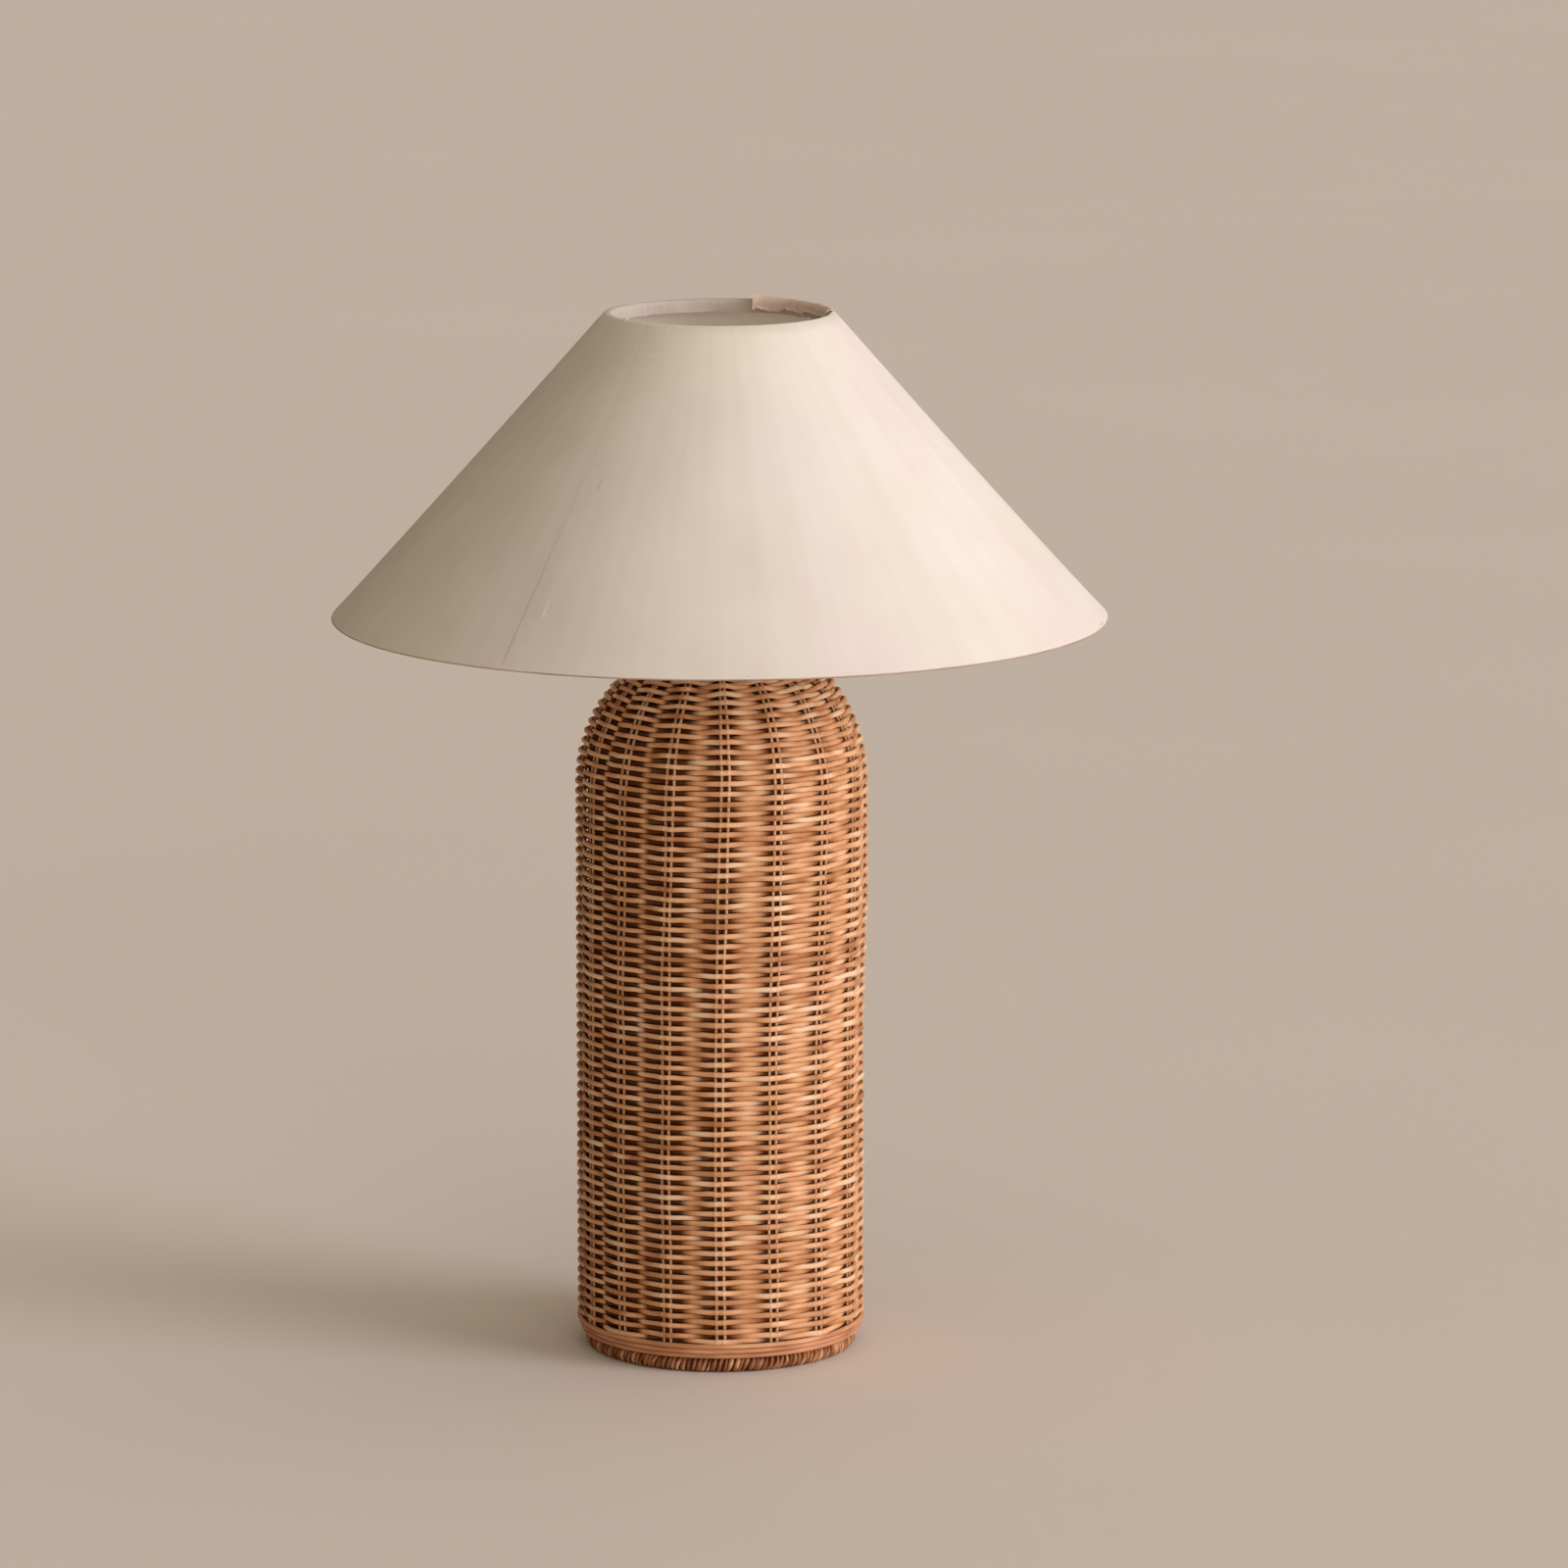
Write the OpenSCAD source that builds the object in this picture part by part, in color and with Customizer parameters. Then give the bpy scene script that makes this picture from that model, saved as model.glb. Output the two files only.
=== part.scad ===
/* [Woven body] */
// Radius of the body, over the outermost strands of the weave
body_r = 75; // [68:0.5:90]
// Height at which the straight side turns into the shoulder
shoulder_z = 297.5; // [200:0.5:340]
// Radius of the shoulder, over the strands
shoulder_r = 79; // [74:0.5:92]
// Radius of the last row, which ends the weave under the neck cap
neck_weave_r = 31.5; // [31:0.5:34]
// Pairs of upright stakes round the body
pairs = 16; // [12:2:20]
// Turn of the stakes from the front of the lamp, in degrees
stake_turn = 1.6; // [0:0.1:11]
// Diameter of a weaver strand
strand_d = 2.4; // [2:0.1:2.5]
// Distance from one row of the weave to the next
row_pitch = 2.6; // [2.6:0.05:3.2]
// Diameter of a stake
stake_d = 1.5; // [1:0.1:1.8]
// Distance between the two stakes of a pair, centre to centre
pair_gap = 3.8; // [3.8:0.1:5]
// Clearance between a strand and the stake that it bends round
weave_gap = 0.05; // [0.03:0.01:0.2]
// How much thinner a strand is where it passes inside the stakes
nip = 0.07; // [0.05:0.01:0.12]

/* [Foot] */
// Height of the plaited border that the lamp stands on
foot_h = 8; // [6:0.5:12]
// Radial width of the border
foot_w = 7; // [5:0.5:9]
// How far the border stands in from the weave
foot_inset = 4.5; // [4:0.5:8]
// Rounding of the border's corners
foot_round = 2.6; // [1:0.1:2.9]
// Diameter of the smooth hoops above the border
hoop_d = 2.6; // [2:0.1:3]
// Number of smooth hoops
hoops = 3; // [2:1:4]
// How far the stakes tuck in towards the border
tuck = 2.6; // [1:0.1:3]
// Thickness of the round base board
board_t = 4; // [3:0.5:8]
// Radius of the steel weight on the board
weight_r = 58; // [45:1:60]
// Thickness of the steel weight
weight_t = 8; // [4:0.5:12]
// Radius of the circle of screws that hold the weight
screw_circle_r = 40; // [30:1:48]
// Diameter of a weight screw's shank
screw_d = 4; // [3:0.5:5]
// Diameter of a weight screw's head
screw_head_d = 8; // [7:0.5:10]
// Height of a weight screw's head
screw_head_h = 2.4; // [1.5:0.1:4]

/* [Liner and neck] */
// Thickness of the dark sleeve behind the weave
liner_t = 1.5; // [1:0.1:2.5]
// Clearance between the sleeve and the strands
liner_gap = 0.1; // [0.05:0.05:0.5]
// Radius of the wooden neck ring
neck_r = 24; // [20:0.5:26]
// Radius of the metal neck cap's rim
cap_rim_r = 36; // [35:0.5:42]
// Thickness of the neck cap
cap_t = 1.2; // [0.8:0.1:2]
// Clearance between the neck cap and the strands
cap_gap = 0.15; // [0.1:0.05:0.5]

/* [Cord gland] */
// Height of the gland's axis
gland_z = 33; // [28:1:60]
// Diameter of the cord hole
cord_hole_d = 6.4; // [5:0.1:8]
// Diameter of the gland's barrel
gland_d = 10; // [9.5:0.5:12]
// Diameter of the gland's outer flange
gland_flange_d = 15; // [14:0.5:18]
// Thickness of the gland's outer flange
gland_flange_t = 2; // [1.5:0.5:4]
// Length of the barrel inside the sleeve, past its nut
gland_tail = 2; // [1:0.5:5]
// Width of the panel of the sleeve that carries the gland
panel_w = 26; // [22:1:30]

/* [Lampholder] */
// Outer diameter of the threaded nipple
nipple_d = 10; // [9.5:0.5:11]
// Bore of the nipple
nipple_bore_d = 7.6; // [6:0.1:8]
// Radius of the lampholder's cap
holder_cap_r = 19; // [18.8:0.1:21]
// Height of the lampholder's cap
holder_cap_h = 18; // [17:0.5:24]
// Wall of the lampholder's cap
holder_wall = 2.4; // [1.8:0.1:3]
// Radius of the threaded skirt, over its thread
skirt_r = 19.9; // [19.5:0.1:22]
// Height of the skirt above the cap
skirt_h = 38; // [36:0.5:45]
// Wall of the skirt
skirt_wall = 3.4; // [2:0.1:3.8]
// Height of the insert's flange
insert_flange_h = 3; // [2:0.5:5]
// Height of the insert above its flange
insert_h = 7; // [5:0.5:9]
// Inner radius of the screw shell
shell_r = 13.4; // [13.4:0.1:13.8]
// Length of the screw shell
shell_h = 22; // [18:0.5:24]
// Outer radius of the two shade rings
shade_ring_r = 28; // [25:0.5:29]
// Height of a shade ring
shade_ring_h = 6; // [4:0.5:7]
// Height of the lower shade ring's top above the cap
shade_ring_z = 24; // [20:0.5:26]
// Diameter of the switch spindle
spindle_d = 4; // [3:0.1:4.5]
// Diameter of the switch knob
knob_d = 13; // [10:0.5:16]
// Length of the switch knob
knob_l = 9; // [6:0.5:14]
// Turn of the switch from the lamp's right side, in degrees
switch_turn = 40; // [0:5:60]

/* [Bulb] */
// Radius of the bulb's globe
globe_r = 30; // [22.5:0.5:31]
// Length of the bulb, from its contact to the top of its globe
bulb_l = 105; // [95:1:110]
// Thickness of the glass
glass_t = 1.2; // [0.8:0.1:2]
// Radius of the bulb's screw cap
bulb_cap_r = 13.1; // [12.5:0.1:13.1]
// Length of the bulb's screw cap, with its contact
bulb_cap_l = 27; // [25:0.5:29]

/* [Shade] */
// Height of the lamp, to the top of the shade
lamp_h = 541; // [515:1:600]
// Height of the shade
shade_h = 157.5; // [120:0.5:165]
// Radius of the shade's lower edge
shade_bottom_r = 200; // [150:1:230]
// Radius of the shade's upper edge
shade_top_r = 59; // [50:0.5:80]
// Thickness of the laminated cover
cover_t = 1.2; // [0.8:0.1:2]
// Diameter of the frame's wire rings
wire_d = 3.5; // [2.5:0.1:5]
// Thickness of the hem tape
tape_t = 0.6; // [0.4:0.1:1]
// Height of the hem that shows outside the lower edge
hem_h = 2.6; // [2:0.1:8]
// Width of the lap where the cover's ends meet
seam_w = 12; // [8:0.5:20]
// Thickness of that lap
seam_t = 0.4; // [0.3:0.1:0.8]
// Turn of the lap from the front of the lamp, in degrees
seam_turn = -31; // [-180:1:180]
// Outer radius of the shade's fitter ring
fitter_r = 34; // [32:0.5:38]
// Thickness of the fitter ring
fitter_t = 2; // [1.5:0.5:3]
// Number of fitter arms
arms = 3; // [3:1:4]
// Diameter of a fitter arm
arm_d = 3; // [2.5:0.1:4]

/* [Hidden] */
$fn = 48;

seat_gap = 0.05;     // between pieces that are pushed or screwed together
running_gap = 0.3;   // between pieces that turn past each other
cut = 1;             // how far a cutting tool runs past what it cuts
lap = 0.6;           // how far the thin part of a strand runs on inside the thick part
knuckle = 0.05;      // how far a stake's bend at the foot stands proud of it
knuckle_in = 0.2;    // how far the straight parts of a stake start from the middle of that bend

// The weave follows a line: straight up the stakes, then round the shoulder
strand_r = strand_d / 2;
stake_r = stake_d / 2;
wave = stake_r + strand_r + weave_gap;
line_r = body_r - strand_r - wave;
line_shoulder_r = shoulder_r - strand_r - wave;
shoulder_x = body_r - shoulder_r;
weave_z = foot_h + hoops * (hoop_d + weave_gap) + strand_r + weave_gap;
line_end = shoulder_z + line_shoulder_r * rad(acos((neck_weave_r - shoulder_x) / line_shoulder_r));
rows = floor((line_end - weave_z) / row_pitch) + 1;
side_rows = floor((shoulder_z - weave_z) / row_pitch) + 1;
step = 360 / pairs;

foot_r = body_r - foot_inset;
knee_z = weave_z - strand_r;
board_top = foot_h + board_t;
board_r = line_r - tuck - stake_r - liner_gap;
liner_r = min(line_r - wave - strand_r - liner_gap, board_r);
liner_shoulder_r = liner_r - shoulder_x;
neck_z = shoulder_z + leg(liner_shoulder_r, neck_r - shoulder_x);
cap_under_r = shoulder_r + cap_gap;
cap_z = shoulder_z + leg(cap_under_r, neck_r - shoulder_x);
weight_top = board_top + weight_t;

nipple_r = nipple_d / 2;
nut_t = 5;
nut_w = 3.1;         // from the nipple to a corner of its nut
washer_t = 1.5;
washer_w = 6;
lock_t = 0.8;
lock_w = 4;
tooth_gap = [1.6, 1];
holder_z = cap_z + cap_t + lock_t;
holder_top = holder_z + holder_cap_h;
skirt_top = holder_top + skirt_h;
insert_flange_top = holder_top + insert_flange_h;
insert_top = insert_flange_top + insert_h;
shell_t = 0.6;
shell_slot = 3;
terminal_x = 9;      // the insert's two wire holes
terminal_d = 2.6;
contact = [7, 4];
contact_h = 2;
ring_z = holder_top + shade_ring_z;
spindle_z = holder_top - spindle_d / 2 - 1.6;
knob_seat = max(holder_cap_r, skirt_r) + running_gap;
fitter_z = ring_z;
fitter_top = fitter_z + fitter_t;

bulb_z = insert_top + contact_h;
globe_z = bulb_z + bulb_l - globe_r;
glass_z = bulb_z + bulb_cap_l;

shade_z = lamp_h - shade_h;
cover_z = shade_z + tape_t;
wire_r = wire_d / 2;
slope = (shade_bottom_r - shade_top_r) / shade_h;
lean = atan(slope);
cover_w = cover_t / cos(lean);
upper_wire_z = lamp_h - wire_r - seat_gap - tape_t;
lower_wire_z = cover_z + wire_r + seat_gap;

gland_r = gland_d / 2;
gland_turn = 90 + stake_turn + step / 2;
gland_face = body_r + seat_gap;

// Radians of an angle in degrees
function rad(a) = a * PI / 180;
// The other leg of a right triangle
function leg(hypotenuse, side) = sqrt(hypotenuse * hypotenuse - side * side);
// Points along an arc
function arc(c, r, from, to, n = 12) =
    [for (i = [0 : n]) let (a = from + (to - from) * i / n) c + r * [cos(a), sin(a)]];
// Points of a rectangle with round corners
function round_rect(low, high, r) = concat(
    arc([high.x - r, low.y + r], r, -90, 0, 5), arc([high.x - r, high.y - r], r, 0, 90, 5),
    arc([low.x + r, high.y - r], r, 90, 180, 5), arc([low.x + r, low.y + r], r, 180, 270, 5));
// Points of a cubic curve
function cubic(a, b, c, d, n = 8) = [for (i = [1 : n]) let (t = i / n, u = 1 - t)
    u * u * u * a + 3 * u * u * t * b + 3 * u * t * t * c + t * t * t * d];

// Place along the weave's line, at a length s measured up it
function line_angle(s) = s <= shoulder_z ? 0 : (s - shoulder_z) / line_shoulder_r * 180 / PI;
function line_x(s) = shoulder_x + line_shoulder_r * cos(line_angle(s));
function line_z(s) = s <= shoulder_z ? s : shoulder_z + line_shoulder_r * sin(line_angle(s));

// Radius of the cover's outer and inner face at a height
function cover_out(z) = shade_top_r + (lamp_h - z) * slope;
function cover_in(z) = cover_out(z) - cover_w;
// Radius of a wire ring that lies against the inside of the cover
function wire_ring_r(z) = cover_in(z) - (wire_r + seat_gap) / cos(lean);

module turned(points) { rotate_extrude() polygon(points); }

module tube(r_out, r_in, z, h) {
    translate([0, 0, z]) difference() {
        cylinder(r = r_out, h = h);
        translate([0, 0, -cut]) cylinder(r = r_in, h = h + 2 * cut);
    }
}

module hoop(r, d, z) { translate([0, 0, z]) rotate_extrude() translate([r, 0]) circle(d = d); }

// Places its children on the gland's axis, with +Z out of the body
module on_gland_axis() {
    rotate([0, 0, gland_turn]) translate([0, 0, gland_z]) rotate([0, 90, 0]) children();
}

module gland_hole() {
    on_gland_axis() cylinder(r = gland_r + seat_gap, h = body_r + gland_flange_t + cut);
}

// One bend of a strand: a round arc through the ends of a chord and through its middle plus peak
module bend(middle, half_chord, peak, r, run_on) {
    rise = norm(peak);
    bend_r = (half_chord * half_chord + rise * rise) / (2 * rise);
    half = asin(half_chord / bend_r) + run_on / bend_r * 180 / PI;
    translate(middle) rotate([0, -atan2(peak.z, peak.x), 0]) translate([rise - bend_r, 0, 0])
        rotate([0, 0, -half]) rotate_extrude(angle = 2 * half) translate([bend_r, 0]) circle(r = r, $fn = 16);
}

// One weaver: a closed ring that passes outside one pair of stakes and inside the next
module weaver(row) {
    s = weave_z + row * row_pitch;
    x = line_x(s);
    middle = [x * cos(step / 2), 0, line_z(s)];
    half_chord = x * sin(step / 2);
    hoop_rise = [x - middle.x, 0, 0];
    off = wave * [cos(line_angle(s)), 0, sin(line_angle(s))];
    for (i = [0 : pairs - 1]) rotate([0, 0, i * step + stake_turn - 90])
        if ((i + row) % 2 == 0) bend(middle, half_chord, hoop_rise + off, strand_r, 0);
        else bend(middle, half_chord, hoop_rise - off, strand_r - nip, lap);
}

// Rows of the weave, parted where the cord gland goes through
module weave(first, last) {
    reach = gland_r + strand_r + cut;
    for (row = [first : last])
        if (abs(weave_z + row * row_pitch - gland_z) < reach) difference() {
            weaver(row);
            gland_hole();
        }
        else weaver(row);
}

// A stake: tucked in at the foot, straight up the side, then bent over the shoulder
module stake() {
    end_angle = acos((neck_weave_r - strand_d - shoulder_x) / line_shoulder_r);
    run_on = lap / line_shoulder_r * 180 / PI;
    foot_l = norm([tuck, knee_z - foot_h]);
    translate([line_r, 0, knee_z + knuckle_in]) cylinder(r = stake_r, h = shoulder_z - knee_z - knuckle_in);
    translate([shoulder_x, 0, shoulder_z]) rotate([90, 0, 0]) rotate([0, 0, -run_on])
        rotate_extrude(angle = end_angle + run_on) translate([line_shoulder_r, 0]) circle(r = stake_r - nip / 2);
    translate([line_r, 0, knee_z]) sphere(r = stake_r + knuckle);
    difference() {
        translate([line_r, 0, knee_z]) rotate([0, 180 + atan(tuck / (knee_z - foot_h)), 0])
            translate([0, 0, knuckle_in]) cylinder(r = stake_r, h = foot_l + stake_r);
        translate([line_r - tuck, 0, foot_h - 2 * cut]) cube([8 * stake_r, 8 * stake_r, 4 * cut], center = true);
    }
}

module foot_border() {
    color("#a9744a")
        turned(round_rect([foot_r - foot_w, 0], [foot_r, foot_h], foot_round));
}

module foot_hoops() {
    pitch = hoop_d + weave_gap;
    color("#c08a5a") for (i = [0 : hoops - 1]) {
        z = foot_h + weave_gap + hoop_d / 2 + i * pitch;
        stake_x = line_r - tuck * (knee_z - z) / (knee_z - foot_h);
        hoop(stake_x + (stake_r + hoop_d / 2 + weave_gap) / cos(atan(tuck / (knee_z - foot_h))), hoop_d, z);
    }
}

module base_board() {
    color("#b08d62") difference() {
        tube(board_r, gland_r, foot_h, board_t);
        weight_screw_places() translate([0, 0, foot_h - cut]) cylinder(d = screw_d, h = board_t + 2 * cut);
    }
}

module weight_screw_places() {
    for (i = [0 : 2]) rotate([0, 0, 30 + i * 120]) translate([screw_circle_r, 0, 0]) children();
}

module base_weight() {
    edge = 1.5;
    color("#4a4a4c") difference() {
        turned([[gland_r, board_top], [weight_r, board_top], [weight_r, weight_top - edge],
            [weight_r - edge, weight_top], [gland_r, weight_top]]);
        weight_screw_places() translate([0, 0, board_top - cut])
            cylinder(d = screw_d + 2 * running_gap, h = weight_t + 2 * cut);
    }
}

module weight_screws() {
    color("#b8b8b4") weight_screw_places() {
        translate([0, 0, foot_h + cut / 2]) cylinder(d = screw_d - 2 * seat_gap, h = weight_top - foot_h - cut / 2);
        translate([0, 0, weight_top]) difference() {
            cylinder(d = screw_head_d, h = screw_head_h);
            translate([0, 0, screw_head_h]) cube([screw_head_d + cut, 1, 1.6], center = true);
        }
    }
}

module liner() {
    c = [shoulder_x, shoulder_z];
    inner_r = liner_shoulder_r - liner_t;
    out_end = acos((neck_r - shoulder_x) / liner_shoulder_r);
    in_end = asin((neck_z - liner_t - shoulder_z) / inner_r);
    hole_r = nipple_r + running_gap;
    difference() {
        turned(concat([[liner_r - liner_t, board_top], [liner_r, board_top]],
            arc(c, liner_shoulder_r, 0, out_end),
            [[hole_r, neck_z], [hole_r, neck_z - liner_t]], arc(c, inner_r, in_end, 0)));
        gland_hole();
    }
}

// One half of the liner: the front half at side -1, the back half at side 1
module liner_half(side) {
    intersection() {
        liner();
        translate([-body_r, side * (body_r + seat_gap) / 2 - body_r / 2, 0])
            cube([2 * body_r, body_r, neck_z + cut]);
    }
}

// Place of the panel that carries the gland: it stands on the base board, in a notch of the back half
module panel_place(gap) {
    side = panel_w / 2 + gap;
    rotate([0, 0, gland_turn]) translate([0, -side, 0]) cube([body_r, 2 * side, gland_z + side]);
}

module liner_front() { color("#2b1d12") liner_half(-1); }

module liner_back() {
    color("#2b1d12") difference() {
        liner_half(1);
        panel_place(seat_gap);
    }
}

module gland_panel() {
    color("#2b1d12") intersection() {
        liner();
        panel_place(0);
    }
}

module stakes() {
    spread = asin(pair_gap / 2 / line_r);
    color("#c9935c") for (i = [0 : pairs - 1], side = [-1, 1])
        rotate([0, 0, i * step + stake_turn - 90 + side * spread]) stake();
}

module weave_lower() { color("#bf8656") weave(0, floor(side_rows / 3) - 1); }

module weave_middle() { color("#c48b5a") weave(floor(side_rows / 3), floor(side_rows * 2 / 3) - 1); }

module weave_upper() { color("#c28858") weave(floor(side_rows * 2 / 3), side_rows - 1); }

module weave_shoulder() { color("#bd8453") weave(side_rows, rows - 1); }

module cord_gland() {
    inside = liner_r - liner_t - washer_t - gland_tail - running_gap;
    color("#3a2a1e") on_gland_axis() difference() {
        union() {
            translate([0, 0, inside]) cylinder(r = gland_r, h = gland_face - inside);
            translate([0, 0, gland_face]) cylinder(d1 = gland_flange_d, d2 = gland_flange_d - gland_flange_t,
                h = gland_flange_t);
        }
        translate([0, 0, inside - cut])
            cylinder(d = cord_hole_d, h = gland_face + gland_flange_t - inside + 2 * cut);
    }
}

module gland_nut() {
    across = gland_d + 4;
    seat = leg(liner_r - liner_t, across / 2) - seat_gap;
    color("#3a2a1e") on_gland_axis() translate([0, 0, seat - washer_t]) difference() {
        cylinder(d = across, h = washer_t);
        translate([0, 0, -cut]) cylinder(r = gland_r + seat_gap, h = washer_t + 2 * cut);
    }
}

module neck_ring() {
    color("#a87b4e") tube(neck_r, nipple_r + running_gap, neck_z, cap_z - neck_z);
}

module neck_cap() {
    c = [shoulder_x, shoulder_z];
    top = acos((neck_r - shoulder_x) / cap_under_r);
    rim = acos((cap_rim_r - shoulder_x) / cap_under_r);
    hole_r = nipple_r + running_gap;
    color("#8a6a3c") turned(concat([[hole_r, cap_z + cap_t], [hole_r, cap_z]],
        arc(c, cap_under_r, top, rim), arc(c, cap_under_r + cap_t, rim, top)));
}

module nipple() {
    low = neck_z - liner_t - washer_t - nut_t - 2;
    color("#c8b070") tube(nipple_r, nipple_bore_d / 2, low, holder_z + nut_t - low);
}

module nipple_washer() {
    color("#b8b8b4") tube(nipple_r + washer_w, nipple_r + running_gap, neck_z - liner_t - washer_t, washer_t);
}

module nipple_nut() {
    color("#c8b070") translate([0, 0, neck_z - liner_t - washer_t - nut_t]) difference() {
        cylinder(r = nipple_r + nut_w, h = nut_t, $fn = 6);
        translate([0, 0, -cut]) cylinder(r = nipple_r + seat_gap, h = nut_t + 2 * cut);
    }
}

module lock_washer() {
    teeth = 12;
    r = nipple_r + lock_w;
    color("#b8b8b4") difference() {
        tube(r, nipple_r + running_gap, cap_z + cap_t, lock_t);
        for (i = [0 : teeth - 1]) rotate([0, 0, i * 360 / teeth])
            translate([r, 0, cap_z + cap_t + lock_t / 2])
                cube([tooth_gap.x, tooth_gap.y, lock_t + 2 * cut], center = true);
    }
}

// Places its children on the switch's axis, with +Z out of the lampholder
module on_switch_axis() {
    rotate([0, 0, switch_turn]) translate([0, 0, spindle_z]) rotate([0, 90, 0]) children();
}

module holder_cap() {
    boss_r = nipple_r + 5;
    inner_r = holder_cap_r - holder_wall;
    floor_z = holder_z + nut_t;
    color("#efece4") difference() {
        turned([[nipple_r + seat_gap, holder_z], [boss_r, holder_z], [boss_r + 1, holder_z + 2],
            [holder_cap_r - 1.2, holder_z + nut_t + 2.4], [holder_cap_r, holder_z + nut_t + 4],
            [holder_cap_r, holder_top], [inner_r, holder_top], [inner_r, floor_z + 4],
            [boss_r, floor_z], [nipple_r + seat_gap, floor_z]]);
        on_switch_axis() cylinder(d = spindle_d + 2 * seat_gap, h = holder_cap_r + cut);
    }
}

module ceramic_insert() {
    flange_r = skirt_r - skirt_wall / 2 - seat_gap;
    color("#f4f1ea") difference() {
        turned([[0, holder_top - cut], [holder_cap_r - holder_wall - running_gap, holder_top - cut],
            [holder_cap_r - holder_wall - running_gap, holder_top], [flange_r, holder_top],
            [flange_r, insert_flange_top], [shell_r + shell_t + 1, insert_flange_top],
            [shell_r + shell_t + 1, insert_top], [0, insert_top]]);
        for (side = [-1, 1]) translate([side * terminal_x, 0, holder_top - 2 * cut])
            cylinder(d = terminal_d, h = insert_top - holder_top + 3 * cut);
    }
}

module centre_contact() {
    color("#d0a850") translate([-contact.x / 2, -contact.y / 2, insert_top]) cube([contact.x, contact.y, contact_h]);
}

module screw_shell() {
    color("#d0a850") difference() {
        tube(shell_r + shell_t, shell_r, insert_top, shell_h);
        for (side = [0, 90]) rotate([0, 0, side + 45]) translate([0, 0, insert_top])
            cube([4 * shell_r, shell_slot, shell_slot], center = true);
    }
}

module holder_skirt() {
    flange_r = skirt_r - skirt_wall / 2;
    inner_r = skirt_r - skirt_wall;
    lip = 1;
    color("#efece4") turned([[flange_r, holder_top], [skirt_r, holder_top], [skirt_r, skirt_top - lip],
        [skirt_r - lip, skirt_top], [inner_r, skirt_top], [inner_r, insert_flange_top + seat_gap],
        [flange_r, insert_flange_top + seat_gap]]);
}

// A shade ring: a knurled nut on the skirt's thread, knurled by shallow scallops
module shade_ring(z) {
    scallops = 24;
    color("#efece4") difference() {
        tube(shade_ring_r, skirt_r + seat_gap, z, shade_ring_h);
        for (i = [0 : scallops - 1]) rotate([0, 0, i * 360 / scallops])
            translate([shade_ring_r + 0.8, 0, z - cut]) cylinder(r = 1.6, h = shade_ring_h + 2 * cut);
    }
}

module lower_shade_ring() { shade_ring(ring_z - shade_ring_h); }

module upper_shade_ring() { shade_ring(fitter_top + seat_gap); }

module switch_spindle() {
    inside = 8;
    color("#c8b070") on_switch_axis() translate([0, 0, inside])
        cylinder(d = spindle_d, h = knob_seat - running_gap + knob_l - inside);
}

module switch_knob() {
    flutes = 12;
    color("#efece4") on_switch_axis() translate([0, 0, knob_seat]) difference() {
        union() {
            cylinder(d = knob_d, h = knob_l - 1);
            translate([0, 0, knob_l - 1]) cylinder(d1 = knob_d, d2 = knob_d - 2, h = 1);
        }
        translate([0, 0, -cut]) cylinder(d = spindle_d + 2 * seat_gap, h = knob_l - running_gap + cut);
        for (i = [0 : flutes - 1]) rotate([0, 0, i * 360 / flutes])
            translate([knob_d / 2 + 0.6, 0, -cut]) cylinder(r = 1.1, h = knob_l + 2 * cut);
    }
}

// Points down the outside of the globe, or of its hollow when it is inset
function globe_line(inset) = let (c = [0, globe_z], r = globe_r - inset, turn = -38,
    waist = c + r * [cos(turn), sin(turn)], foot = [bulb_cap_r - 0.5 - inset, glass_z + inset])
    concat(arc(c, r, 90, turn, 16), cubic(waist, waist + 10 * [sin(turn), -cos(turn)],
        foot + [0, 14], foot));

module bulb_globe() {
    color("#f6f2e6") difference() {
        turned(concat(globe_line(0), [[0, glass_z]]));
        turned(concat(globe_line(glass_t), [[0, glass_z + glass_t]]));
    }
}

module bulb_cap() {
    low = bulb_z + 4.5;
    color("#b9bcc0") turned([[0, low], [bulb_cap_r - 4, low], [bulb_cap_r, low + 3],
        [bulb_cap_r, glass_z - 2], [bulb_cap_r - 0.3, glass_z], [0, glass_z]]);
}

module bulb_contact() {
    color("#26262a") turned([[0, bulb_z], [3.5, bulb_z], [4, bulb_z + 1], [bulb_cap_r - 4.2, bulb_z + 4.5],
        [0, bulb_z + 4.5]]);
}

// The cover's section, from its lower edge to its upper edge
module cover_section() {
    polygon([[cover_in(cover_z), cover_z], [cover_out(cover_z), cover_z],
        [shade_top_r, lamp_h], [shade_top_r - cover_w, lamp_h]]);
}

module shade_cover() { color("#efe6d6") rotate_extrude() cover_section(); }

module shade_seam() {
    low = cover_z + hem_h + tape_t;
    high = lamp_h - cut;
    wide = seam_t / cos(lean);
    color("#ece2d1") intersection() {
        turned([[cover_out(low), low], [cover_out(low) + wide, low],
            [cover_out(high) + wide, high], [cover_out(high), high]]);
        rotate([0, 0, seam_turn - 90]) translate([0, -seam_w / 2, low - cut])
            cube([shade_bottom_r + cut, seam_w, high - low + 2 * cut]);
    }
}

module wire_ring(z) { hoop(wire_ring_r(z), wire_d, z); }

module upper_wire_ring() { color("#d8d4cc") wire_ring(upper_wire_z); }

module lower_wire_ring() { color("#d8d4cc") wire_ring(lower_wire_z); }

// The section of a tape that is rolled round a wire ring, and glued to the cover
module tape_section(z) {
    difference() {
        translate([wire_ring_r(z), z]) circle(r = wire_r + seat_gap + tape_t);
        translate([wire_ring_r(z), z]) circle(r = wire_r + seat_gap);
        cover_section();
        translate([cover_out(z), z - 5 * wire_d]) square(10 * wire_d);
    }
}

module upper_hem() { color("#c9b49c") rotate_extrude() tape_section(upper_wire_z); }

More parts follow.
